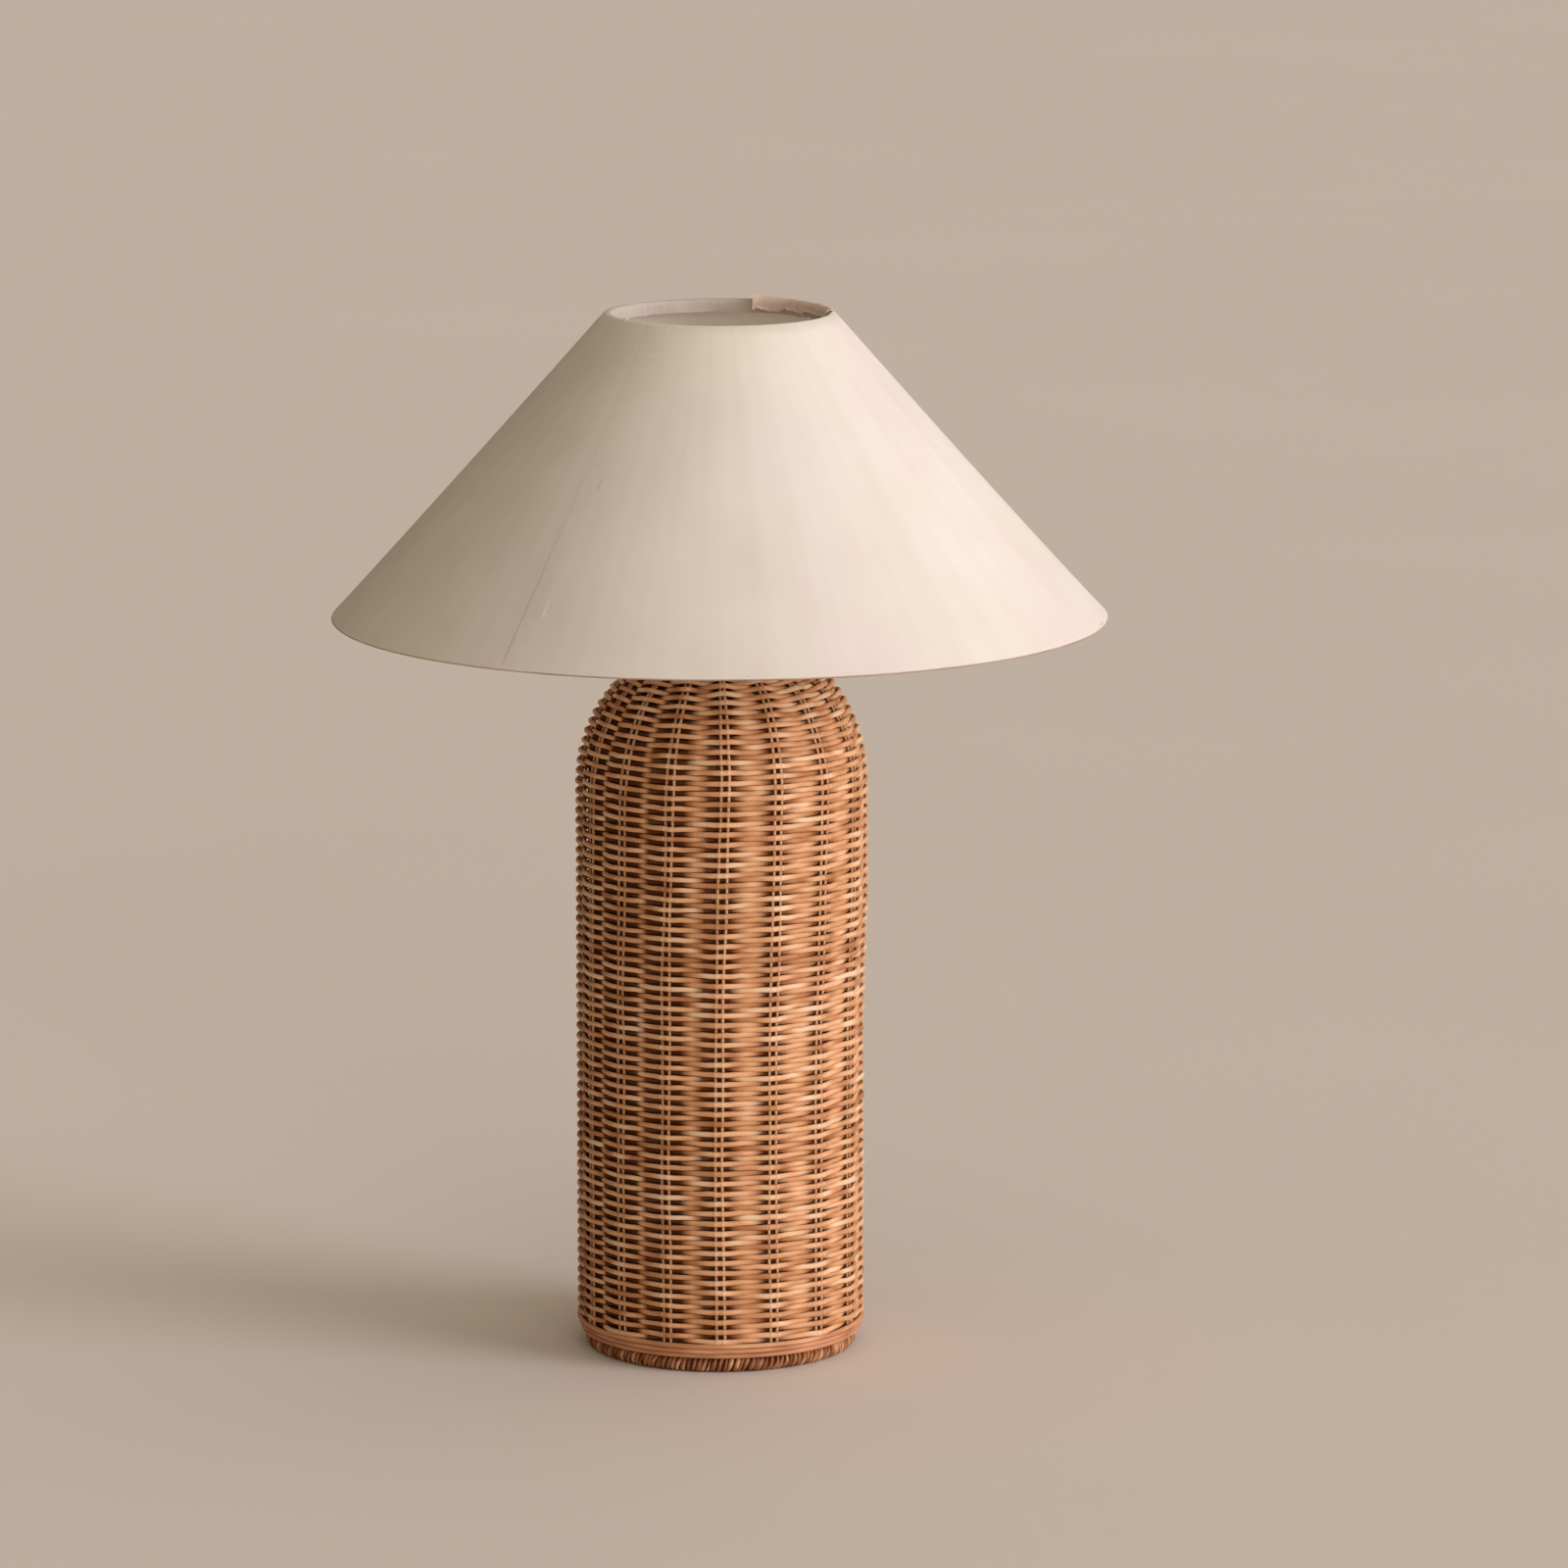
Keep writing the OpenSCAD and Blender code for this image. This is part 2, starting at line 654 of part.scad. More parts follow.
module lower_hem() {
    out = tape_t / cos(lean);
    hem_top = cover_z + hem_h;
    roll_x = wire_ring_r(lower_wire_z);
    color("#8f8273") rotate_extrude() {
        tape_section(lower_wire_z);
        difference() {
            polygon([[roll_x, cover_z - tape_t / 2], [cover_out(shade_z), shade_z],
                [cover_out(hem_top) + out, hem_top], [cover_out(hem_top), hem_top],
                [cover_out(cover_z), cover_z], [roll_x, cover_z]]);
            translate([roll_x, lower_wire_z]) circle(r = wire_r + seat_gap);
        }
    }
}

module fitter_ring() {
    color("#d8d4cc") tube(fitter_r, skirt_r + running_gap, fitter_z, fitter_t);
}

module fitter_arms() {
    foot = [fitter_r - arm_d, fitter_top];
    head = [wire_ring_r(upper_wire_z), upper_wire_z];
    reach = head - foot;
    color("#d8d4cc") for (i = [0 : arms - 1]) rotate([0, 0, i * 360 / arms - 90]) difference() {
        translate([foot.x, 0, foot.y]) rotate([0, atan2(reach.x, reach.y), 0])
            translate([0, 0, -arm_d]) cylinder(d = arm_d, h = norm(reach) + arm_d);
        translate([foot.x, 0, fitter_top - 5 * arm_d]) cube(10 * arm_d, center = true);
        hoop(head.x, wire_d + 4 * tape_t, head.y);
    }
}

foot_border();
foot_hoops();
base_board();
base_weight();
weight_screws();
liner_front();
liner_back();
gland_panel();
stakes();
weave_lower();
weave_middle();
weave_upper();
weave_shoulder();
cord_gland();
gland_nut();
neck_ring();
neck_cap();
nipple();
nipple_washer();
nipple_nut();
lock_washer();
holder_cap();
ceramic_insert();
centre_contact();
screw_shell();
holder_skirt();
lower_shade_ring();
upper_shade_ring();
switch_spindle();
switch_knob();
bulb_globe();
bulb_cap();
bulb_contact();
shade_cover();
shade_seam();
upper_wire_ring();
lower_wire_ring();
upper_hem();
lower_hem();
fitter_ring();
fitter_arms();
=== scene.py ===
import math

import bpy
import numpy as np
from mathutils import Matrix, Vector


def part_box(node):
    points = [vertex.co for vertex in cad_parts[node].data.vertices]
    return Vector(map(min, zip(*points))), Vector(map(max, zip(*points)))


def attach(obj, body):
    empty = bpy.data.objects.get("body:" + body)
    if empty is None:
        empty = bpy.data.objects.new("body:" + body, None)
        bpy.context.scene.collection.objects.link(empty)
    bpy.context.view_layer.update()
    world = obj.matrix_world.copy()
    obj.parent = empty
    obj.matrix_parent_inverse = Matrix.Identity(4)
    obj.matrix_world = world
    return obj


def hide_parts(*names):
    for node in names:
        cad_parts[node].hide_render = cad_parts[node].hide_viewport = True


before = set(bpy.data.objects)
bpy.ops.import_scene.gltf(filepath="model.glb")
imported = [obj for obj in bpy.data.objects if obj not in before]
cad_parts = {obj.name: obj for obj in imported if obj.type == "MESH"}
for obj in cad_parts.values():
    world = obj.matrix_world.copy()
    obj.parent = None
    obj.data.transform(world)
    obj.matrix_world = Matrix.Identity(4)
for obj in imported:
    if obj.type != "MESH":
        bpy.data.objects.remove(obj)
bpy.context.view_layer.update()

# A table lamp with a woven cane body and a wide cone shade. Lengths are in metres. A turn is an angle
# round the lamp's axis from +X, and the front of the lamp faces -Y. The pieces below are built round
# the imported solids, from the same driving sizes.

TAU = 2 * math.pi
BACK = math.pi / 2                   # turn of the lamp's back: the front is at -BACK
UP = np.array([0.0, 0.0, 1.0])
GAP = 0.00005                        # clearance between pieces that lie on each other

# Woven body
PAIRS = 16                           # pairs of stakes
STEP = TAU / PAIRS
STAKE_TURN = math.radians(1.6)       # from the front to the first pair
STAKE_R = 0.00075
PAIR_GAP = 0.0038                    # between the two stakes of a pair
STRAND_R = 0.0012
ROW_PITCH = 0.0026
MOST_ROWS = 200                      # more rows than the body has
SHOULDER_Z = 0.2975                  # where the straight side turns into the shoulder
SHOULDER_R = 0.079
TUCK = 0.0026                        # how far the stakes lean in at the foot
GLAND_HIDE = 0.0062                  # strands end this far from the gland's axis, under its flange
GLAND_LEAST = 0.003                  # and at least this far to each side of it

# Hand work: how far the strands stray from even rows
SINK = 0.00014                       # drawn in all round
CREASE = 0.00020                     # pushed out over each stake
ROW_WAVER = 0.00007                  # up and down, each row by itself
LIFT_WAVER = 0.00006                 # in and out, each row by itself
THICK_WAVER = 0.03                   # share of the thickness
DRIFT = 0.00034                      # up and down, with the neighbours
DRIFT_FROM = 0.02                    # height over the first row where the drift is in full
SWAY = (-1.0, -15.7, 69.0)           # degrees that the stakes wander round, by powers of the height
SWAY_TOP = 0.31                      # height where they stop wandering
BULGE = 0.0010                       # how far the upper body stands out, in the mean
BULGE_RISE = ((0.18, 0), (0.24, 1), (0.30, 0.9), (0.335, 1.3), (0.35, 1.6), (0.362, 0.9), (0.370, 0))

# Tables round the body, by the angle from the front, positive towards the right
STEEP = ((-math.pi, 0.10), (-1.6, 0.0), (-0.9, -0.05), (-0.2, 0.12), (0.3, 0.26), (1.5, 0.26),
         (math.pi, 0.10))            # how short and steep the strands' dives are
FULL = ((-math.pi, 1.05), (-1.5, 0.97), (-0.5, 1.02), (0.2, 1.12), (1.8, 1.12), (math.pi, 1.05))
PAINTED_SHADE_BY_SIDE = ((-math.pi, 1.2), (-1.8, 3.5), (-0.9, 4.5), (-0.5, 3.2), (0.0, 1.8), (0.5, 0.95),
         (1.4, 0.75), (math.pi, 1.2))  # painted shade: how dark the strands are inside the stakes, darkest at the left, away from the window

# Foot
HOOP_R = 0.0013
HOOPS = 3
FOOT_W = 0.007
BORDER_R = 0.0010                    # of the strand that is wound round the border

# Shade
SHADE_TOP_R = 0.059
COVER_T = 0.0012
WIRE_R = 0.00175
TAPE_T = 0.0006
TURN_IN = 0.0070                     # how far the cloth is turned in below the upper rim
SLACK = 0.00030                      # size of the swells in the cover
SLACK_MEAN = 3.2                     # how far it is drawn in, in the mean, in the same measure
SEAM_W = 0.012
SEAM_T = 0.0004
SEAM_TURN = math.radians(-121)


def reach(node):
    """Largest distance of a node's vertices from the lamp's axis."""
    return max(math.hypot(v.co.x, v.co.y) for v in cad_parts[node].data.vertices)


# Sizes that are read off the solids, and what follows from them
BODY_R = reach("weave_lower")
FOOT_R = reach("foot_border")
FOOT_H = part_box("foot_border")[1].z
WEAVE_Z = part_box("weave_lower")[0].z + STRAND_R
KNEE_Z = WEAVE_Z - STRAND_R          # where the stakes start to lean in
LAMP_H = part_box("shade_cover")[1].z
COVER_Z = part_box("shade_cover")[0].z
SHADE_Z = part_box("lower_hem")[0].z
SHADE_BOTTOM_R = reach("lower_hem")
GLAND_Z = sum(corner.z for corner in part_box("cord_gland")) / 2
GLAND_TURN = BACK + STAKE_TURN + STEP / 2
WAVE = STAKE_R + STRAND_R + GAP      # how far a strand swings out and in
LINE_R = BODY_R - STRAND_R - WAVE    # radius of the stakes' circle
LINE_SHOULDER_R = SHOULDER_R - STRAND_R - WAVE
SHOULDER_X = BODY_R - SHOULDER_R
SLOPE = (SHADE_BOTTOM_R - SHADE_TOP_R) / (LAMP_H - SHADE_Z)
LEAN = math.atan(SLOPE)
COVER_W = COVER_T / math.cos(LEAN)
SLIM = WIRE_R + GAP                  # inner radius of the tapes round their wires
FAT = SLIM + TAPE_T                  # outer radius of the tapes


# ---------------------------------------------------------------- mesh building

class Shape:
    """A piece as it is built up: points, faces, a map along the strands, and values on the points."""

    def __init__(self):
        self.points, self.quads, self.uv, self.caps = [], [], [], []
        self.values = {}
        self.count = 0

    def grid(self, points, closed, band=(0, 1), spots=None, **values):
        """Adds a tube of points (along, round, xyz), which closes on itself or has flat ends.

        The map takes band, which is (strand, number of strands), and spots, the places along it.
        """
        along, rounds = points.shape[:2]
        spots = np.arange(along + 1) / along if spots is None else spots
        i, j = np.meshgrid(np.arange(along if closed else along - 1), np.arange(rounds), indexing="ij")
        corners = [(i, j), (i + 1, j), (i + 1, j + 1), (i, j + 1)]
        quads = np.stack([(a % along) * rounds + b % rounds for a, b in corners], -1).reshape(-1, 4)
        uv = np.stack([np.stack([spots[a], (band[0] + b / rounds) / band[1]], -1)
                       for a, b in corners], -2).reshape(-1, 4, 2)
        flat = points.reshape(-1, 3)
        p = flat[quads] - flat.mean(0)
        volume = np.einsum("ij,ij->", np.cross(p[:, 1] - p[:, 0], p[:, 2] - p[:, 0]), p[:, 0])
        volume += np.einsum("ij,ij->", np.cross(p[:, 2] - p[:, 0], p[:, 3] - p[:, 0]), p[:, 0])
        turned = -1 if volume < 0 else 1
        self.quads.append((quads + self.count)[:, ::turned])
        self.uv.append(uv[:, ::turned])
        if not closed:
            first = np.arange(rounds)[::-turned] + self.count
            last = np.arange(rounds)[::turned] + self.count + (along - 1) * rounds
            self.caps += [first.tolist(), last.tolist()]
        self.points.append(flat)
        for name in dict.fromkeys([*self.values, *values]):
            value = np.asarray(values.get(name, 0.0), float)
            value = np.broadcast_to(value[:, None] if value.ndim == 1 else value, (along, rounds))
            self.values.setdefault(name, [np.zeros(self.count)]).append(value.reshape(-1))
        self.count += len(flat)

    def tube(self, centre, out, side, half_out, half_side, sides, closed, band, spots=None, flat=1.0,
             **values):
        """Adds a tube along centre: its section is an ellipse, or has flatter faces if flat < 1."""
        turn = circle(sides)
        half_out, half_side = (np.broadcast_to(half, len(centre))[:, None, None]
                               for half in (half_out, half_side))
        c, s = (np.sign(v) * np.abs(v) ** flat for v in (np.cos(turn).round(9), np.sin(turn).round(9)))
        side = np.broadcast_to(side, out.shape)
        ring = out[:, None] * c[None, :, None] * half_out + side[:, None] * s[None, :, None] * half_side
        self.grid(centre[:, None] + ring, closed, band, spots, **values)

    def piece(self, name, body, slot, material, *nodes, sharp=None):
        """Makes the object, lets it ride on its body and stand for its nodes."""
        quads, uv = np.concatenate(self.quads), np.concatenate(self.uv)
        loops = np.concatenate([quads.ravel()] + [np.array(cap) for cap in self.caps])
        sizes = np.array([4] * len(quads) + [len(cap) for cap in self.caps])
        starts = np.concatenate([[0], np.cumsum(sizes)[:-1]])
        mesh = bpy.data.meshes.new(name)
        mesh.vertices.add(self.count)
        mesh.vertices.foreach_set("co", np.concatenate(self.points).astype(np.float32).ravel())
        mesh.loops.add(len(loops))
        mesh.loops.foreach_set("vertex_index", loops.astype(np.int32))
        mesh.polygons.add(len(sizes))
        mesh.polygons.foreach_set("loop_start", starts.astype(np.int32))
        mesh.update(calc_edges=True)
        layer = mesh.uv_layers.new(name="strand")
        spots = np.zeros((len(loops), 2), np.float32)
        spots[:quads.size] = uv.reshape(-1, 2)
        layer.data.foreach_set("uv", spots.ravel())
        for key, parts in self.values.items():
            mesh.attributes.new(key, "FLOAT", "POINT").data.foreach_set(
                "value", np.concatenate(parts).astype(np.float32))
        mesh.shade_smooth()
        if sharp is not None:
            mesh.set_sharp_from_angle(angle=math.radians(sharp))
        mesh.materials.append(material)
        obj = bpy.data.objects.new(name, mesh)
        bpy.context.scene.collection.objects.link(obj)
        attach(obj, body)
        if nodes:
            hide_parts(*nodes)


def circle(count, start=0.0):
    """Turns of count places evenly round a circle."""
    return start + np.arange(count) * TAU / count


def spoke(turn):
    """Unit vectors that point out from the axis at each turn, and the ones along the turn."""
    zero = np.zeros_like(turn)
    return (np.stack([np.cos(turn), np.sin(turn), zero], -1),
            np.stack([-np.sin(turn), np.cos(turn), zero], -1))


def placed(out, x, z):
    """Points at radius x and height z, one in each direction out."""
    return out * x[:, None] + UP * z[:, None]


def revolved(out, section):
    """Points of a section (radius, height), given once or for each direction out."""
    return out[:, None] * section[..., :1] + UP * section[..., 1:]


def ripple(rng, turn, low, high, size):
    """A smooth random wave with low to high swells in a whole turn, about size high."""
    wave = sum(rng.normal() * np.cos(k * turn + rng.uniform(0, TAU)) for k in range(low, high + 1))
    return wave * size / math.sqrt((high - low + 1) / 2)


# ---------------------------------------------------------------- materials

def add(tree, kind, **values):
    """A new node: lower-case names are its settings, the others its inputs, by number or by link."""
    node = tree.nodes.new("ShaderNode" + kind)
    for key, value in values.items():
        if key[0].islower():
            setattr(node, key, value)
        elif isinstance(value, bpy.types.NodeSocket):
            tree.links.new(value, node.inputs[key.replace("_", " ")])
        else:
            node.inputs[key.replace("_", " ")].default_value = value
    return node.outputs[0]


def weigh(tree, value, weight, other):
    """A value times weight, added to another value."""
    total = add(tree, "Math", operation="MULTIPLY_ADD", Value=value)
    total.node.inputs[1].default_value = weight
    tree.links.new(other, total.node.inputs[2])
    return total


def mix(tree, factor, a, b, mode="MIX"):
    """Two colours mixed, each by number or by link."""
    node = tree.nodes.new("ShaderNodeMix")
    node.data_type, node.blend_type = "RGBA", mode
    for place, value in ((0, factor), (6, a), (7, b)):
        if isinstance(value, bpy.types.NodeSocket):
            tree.links.new(value, node.inputs[place])
        else:
            node.inputs[place].default_value = value if place == 0 else (*value, 1)
    return node.outputs[2]


def ramp(tree, factor, *stops):
    """A colour ramp through (place, colour) stops."""
    node = tree.nodes.new("ShaderNodeValToRGB")
    tree.links.new(factor, node.inputs[0])
    while len(node.color_ramp.elements) < len(stops):
        node.color_ramp.elements.new(0.5)
    for element, (place, colour) in zip(node.color_ramp.elements, stops):
        element.position, element.color = place, (*colour, 1)
    return node.outputs[0]


def remap(tree, value, low, high, from_low=0.3, from_high=0.7):
    """A value brought from its own range to the range low to high."""
    return add(tree, "MapRange", Value=value, From_Min=from_low, From_Max=from_high,
               To_Min=low, To_Max=high)


def value_on(tree, name):
    """A value kept on the points of the mesh."""
    node = tree.nodes.new("ShaderNodeAttribute")
    node.attribute_name = name
    return node.outputs["Fac"]


def strand_map(tree, along, rounds):
    """The map along and round the strands, stretched both ways."""
    return add(tree, "Mapping", Vector=add(tree, "UVMap", uv_map="strand"), Scale=(along, rounds, 1))


def place_map(tree, scale=(1, 1, 1)):
    """The place on the piece in metres, stretched by scale."""
    node = tree.nodes.new("ShaderNodeTexCoord")
    return add(tree, "Mapping", Vector=node.outputs["Object"], Scale=scale)


def shader(name, **sockets):
    """A new material with its Principled shader set, its tree and the shader."""
    material = bpy.data.materials.new(name)
    material.use_nodes = True
    tree = material.node_tree
    bsdf = tree.nodes["Principled BSDF"]
    for key, value in sockets.items():
        bsdf.inputs[key.replace("_", " ")].default_value = value
    return material, tree, bsdf


def wire_up(tree, bsdf, colour, roughness=None, height=None, distance=0.0002, strength=1.0):
    """Links a colour, a roughness and a bump to the shader."""
    tree.links.new(colour, bsdf.inputs["Base Color"])
    if roughness is not None:
        tree.links.new(roughness, bsdf.inputs["Roughness"])
    if height is not None:
        tree.links.new(add(tree, "Bump", Height=height, Distance=distance, Strength=strength),
                       bsdf.inputs["Normal"])


def surface(name, dark, light, scale, roughness, stretch=(1, 1, 1), bump=0.0001, **sockets):
    """A general finish: two tones in soft patches, an uneven sheen and a grain nine times as fine."""
    material, tree, bsdf = shader(name, **sockets)
    place = place_map(tree, stretch)
    patches = add(tree, "TexNoise", Vector=place, Scale=scale, Detail=4.0, Roughness=0.6)
    grain = add(tree, "TexNoise", Vector=place, Scale=scale * 9, Detail=3.0, Roughness=0.55)
    colour = ramp(tree, weigh(tree, grain, 0.35, patches), (0.42, dark), (0.86, light))
    wire_up(tree, bsdf, colour, remap(tree, grain, *roughness), grain, bump)
    return material


# Dark brown painted into the cane where it lies deep: painted shade, with some dirt in the hollows.
DEEP_SHADE_AND_DIRT = (0.075, 0.016, 0.003)


def cane(name, dark, middle, light, along, rounds, rough=(0.42, 0.62)):
    """Peeled cane: a tone for each strand, streaks and cracks along it, and painted shade and dirt
    where it lies deep.
    """
    material, tree, bsdf = shader(name)
    streaks = add(tree, "TexNoise", Vector=strand_map(tree, along, rounds), Scale=1.0, Detail=5.0,
                  Roughness=0.62)
    blotches = add(tree, "TexNoise", Vector=place_map(tree), Scale=55.0, Detail=3.0)
    tone = weigh(tree, blotches, 0.30, weigh(tree, streaks, 0.34, value_on(tree, "tone")))
    # The depth value paints shade: the colour goes dark brown where a strand lies deep behind the
    # stakes.
    depth = value_on(tree, "depth")
    colour = mix(tree, remap(tree, depth, 0.0, 0.92, 0.45, 1.0),
                 ramp(tree, tone, (0.30, dark), (0.72, middle), (1.0, light)), DEEP_SHADE_AND_DIRT)
    tree.links.new(remap(tree, depth, 0.35, 0.0, 0.40, 0.58), bsdf.inputs["Specular IOR Level"])
    wire_up(tree, bsdf, colour, remap(tree, streaks, *rough), streaks, 0.00025, 0.7)
    return material


SLUBS = (0.06, 1.3)                  # slubs in a cloth: share of its threads, and how many across
AGED = (0.38, (1.0, 0.965, 0.985)), (0.62, (1.0, 0.995, 0.945))
# The pale lining of the cover's inner face is painted lighter than the cloth, to stand in for daylight
# that shines through the shade.
LINING_AND_PAINTED_LIGHT = (0.88, 0.83, 0.75)


def fabric(name, dark, light, warps, wefts, relief, **sockets):
    """Plain-woven cloth: crossing threads, slubs along one way, and faint streaks and patches."""
    material, tree, bsdf = shader(name, Roughness=0.85, **sockets)
    sheet = strand_map(tree, warps, wefts)
    warp, weft = (add(tree, "TexWave", Vector=sheet, Scale=1.0, Distortion=0.4, wave_type="BANDS",
                      bands_direction=way) for way in "XY")
    slubs = strand_map(tree, warps * SLUBS[0], SLUBS[1])
    streaks = add(tree, "TexNoise", Vector=slubs, Scale=1.0, Detail=5.0)
    patches = add(tree, "TexNoise", Vector=place_map(tree), Scale=14.0, Detail=3.0)
    colour = ramp(tree, weigh(tree, streaks, 0.55, patches), (0.50, dark), (1.05, light))
    aged = add(tree, "TexNoise", Vector=place_map(tree), Scale=9.0, Detail=2.0)
    colour = mix(tree, 1.0, colour, ramp(tree, aged, *AGED), "MULTIPLY")
    # The inner face takes the lining colour, which is painted light.
    colour = mix(tree, value_on(tree, "lined"), colour, LINING_AND_PAINTED_LIGHT)
    wire_up(tree, bsdf, colour, remap(tree, streaks, 0.78, 0.92), weigh(tree, warp, 1.0, weft), relief,
            0.35)
    return material


CANE = cane("cane_strand", (0.40, 0.155, 0.054), (0.70, 0.365, 0.175), (0.80, 0.55, 0.345),
            along=26, rounds=700)
STAKE_CANE = cane("cane_stake", (0.38, 0.17, 0.068), (0.62, 0.335, 0.160), (0.74, 0.47, 0.265),
                  along=20, rounds=200)
HOOP_CANE = cane("cane_hoop", (0.28, 0.095, 0.035), (0.56, 0.255, 0.118), (0.72, 0.41, 0.22),
                 along=40, rounds=3)
BORDER_CANE = cane("cane_border", (0.13, 0.036, 0.011), (0.32, 0.125, 0.046), (0.60, 0.32, 0.155),
                   along=60, rounds=4, rough=(0.55, 0.75))
SHADE_CLOTH = fabric("shade_cloth", (0.735, 0.676, 0.590), (0.806, 0.758, 0.694),
                     warps=1500, wefts=500, relief=0.00012, Specular_IOR_Level=0.25)
# The turned-in cloth is the shade's cloth, painted darker for the shade it lies in inside the rim.
SHADED_TURNED_CLOTH = fabric("turned_cloth_painted_shade", (0.45, 0.40, 0.325), (0.585, 0.53, 0.46),
                      warps=120, wefts=40, relief=0.0002)
TORN_TAPE = fabric("torn_tape", (0.65, 0.50, 0.395), (0.87, 0.725, 0.60),
                   warps=120, wefts=30, relief=0.0003)
BOTTOM_TAPE = fabric("bottom_tape", (0.30, 0.215, 0.155), (0.68, 0.52, 0.40),
                     warps=900, wefts=12, relief=0.0002)
CAP_METAL = surface("cap_aluminium", (0.46, 0.46, 0.48), (0.70, 0.70, 0.72), 150, (0.22, 0.4),
                    Metallic=1.0)

# Finishes of the solids that show as they are, and the solids that share one
FINISHES = {
    "liner_front": surface("liner_brown", (0.060, 0.016, 0.003), (0.105, 0.028, 0.005), 45,
                           (0.72, 0.9)),
    "base_board": surface("board_ply", (0.36, 0.24, 0.13), (0.56, 0.42, 0.27), 14, (0.5, 0.7),
                          (1, 9, 30)),
    "base_weight": surface("weight_iron", (0.030, 0.030, 0.032), (0.085, 0.085, 0.088), 90,
                           (0.5, 0.75), bump=0.0004, Metallic=0.7),
    "weight_screws": surface("screw_zinc", (0.42, 0.42, 0.40), (0.66, 0.66, 0.63), 240, (0.28, 0.45),
                             Metallic=1.0),
    "cord_gland": surface("gland_brown", (0.030, 0.019, 0.012), (0.055, 0.036, 0.024), 160,
                          (0.4, 0.6)),
    "neck_ring": surface("neck_beech", (0.33, 0.19, 0.10), (0.52, 0.33, 0.19), 16, (0.4, 0.6),
                         (9, 9, 1)),
    "neck_cap": surface("neck_bronze", (0.16, 0.095, 0.045), (0.34, 0.22, 0.11), 70, (0.3, 0.5),
                        Metallic=0.85),
    "nipple": surface("brass_turned", (0.46, 0.31, 0.11), (0.72, 0.53, 0.24), 120, (0.25, 0.42),
                      (1, 1, 14), Metallic=1.0),
    "nipple_washer": surface("washer_steel", (0.40, 0.40, 0.39), (0.62, 0.62, 0.60), 200, (0.3, 0.5),
                             Metallic=1.0),
    "ceramic_insert": surface("glazed_ceramic", (0.72, 0.69, 0.62), (0.84, 0.82, 0.77), 80,
                              (0.12, 0.25), bump=0.00002, Coat_Weight=0.5),
    "holder_cap": surface("holder_plastic", (0.66, 0.63, 0.57), (0.78, 0.76, 0.70), 60, (0.26, 0.42),
                          bump=0.00003, Coat_Weight=0.2),
    # The pale epoxy wire and fitter are painted a darker greyish brown, for the shade they lie in
    # inside the shade.
    "upper_wire_ring": surface("wire_epoxy_painted_shade", (0.44, 0.39, 0.33), (0.56, 0.50, 0.43), 150,
                               (0.40, 0.58)),
    "bulb_globe": surface("opal_glass", (0.80, 0.78, 0.72), (0.88, 0.86, 0.81), 22, (0.08, 0.14),
                          bump=0.00001, Coat_Weight=0.6),
    "bulb_contact": surface("contact_black", (0.010, 0.010, 0.012), (0.022, 0.022, 0.026), 200,
                            (0.2, 0.4)),
}
SAME_AS = {
    "liner_back": "liner_front", "gland_panel": "liner_front", "gland_nut": "cord_gland",
    "nipple_nut": "nipple", "lock_washer": "nipple_washer", "centre_contact": "nipple",
    "screw_shell": "nipple", "switch_spindle": "nipple", "holder_skirt": "holder_cap",
    "lower_shade_ring": "holder_cap", "upper_shade_ring": "holder_cap", "switch_knob": "holder_cap",
    "lower_wire_ring": "upper_wire_ring", "fitter_ring": "upper_wire_ring",
    "fitter_arms": "upper_wire_ring",
}
for node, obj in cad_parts.items():
    finish = FINISHES.get(SAME_AS.get(node, node))
    if finish:
        obj.data.materials.clear()
        obj.data.materials.append(finish)


# ---------------------------------------------------------------- woven body

def weave_line(s):
    """Radius, height and lean of the weave's line at a length s up it."""
    bend = np.maximum(0, s - SHOULDER_Z) / LINE_SHOULDER_R
    return (SHOULDER_X + LINE_SHOULDER_R * np.cos(bend),
            np.minimum(s, SHOULDER_Z) + LINE_SHOULDER_R * np.sin(bend), bend)


def tilted(out, bend):
    """Directions out of the weave's line and up along it, where it leans in by bend."""
    flat, steep = np.cos(bend)[:, None], np.sin(bend)[:, None]
    return out * flat + UP * steep, UP * flat - out * steep


def sway(s):
    """How far round the stakes wander from their straight places, at a length s up the line."""
    s = np.minimum(s, SWAY_TOP)
    return np.radians(SWAY[0] + SWAY[1] * s + SWAY[2] * s ** 2)


def fullness(turn, s):
    """How far the weave stands out of its true line: hand work, fuller at one side of the shoulder."""
    return np.interp(s, *zip(*BULGE_RISE)) * (BULGE + BULGE * np.cos(turn))


def by_side(turn, table):
    """A value from a table by the angle from the front, positive towards the right."""
    return np.interp((turn + BACK + math.pi) % TAU - math.pi, *zip(*table))


def pair_place(turn, s):
    """The place round the body counted in pairs of stakes, a whole number at each pair."""
    return (turn - STAKE_TURN - sway(s) + BACK) / STEP


def round_turns():
    """Places round a row, set closer where it bends over the two stakes of a pair."""
    spread, beside = math.degrees(math.asin(PAIR_GAP / 2 / LINE_R)), 0.42     # in degrees
    half = np.array([0, spread - beside, spread, spread + beside, 3.2, 4.7, 6.3, 8.0, 9.6])
    one = np.radians(np.concatenate([-half[:0:-1], half, [math.degrees(STEP) / 2]]))
    on_stake = np.isclose(np.abs(np.degrees(one)), spread)
    pairs = STAKE_TURN - BACK + np.arange(PAIRS) * STEP
    after = ((pairs[:, None] + one[None]).ravel() - GLAND_TURN) % TAU
    order = np.argsort(after)
    return GLAND_TURN + after[order], np.tile(on_stake, PAIRS)[order] * 1.0


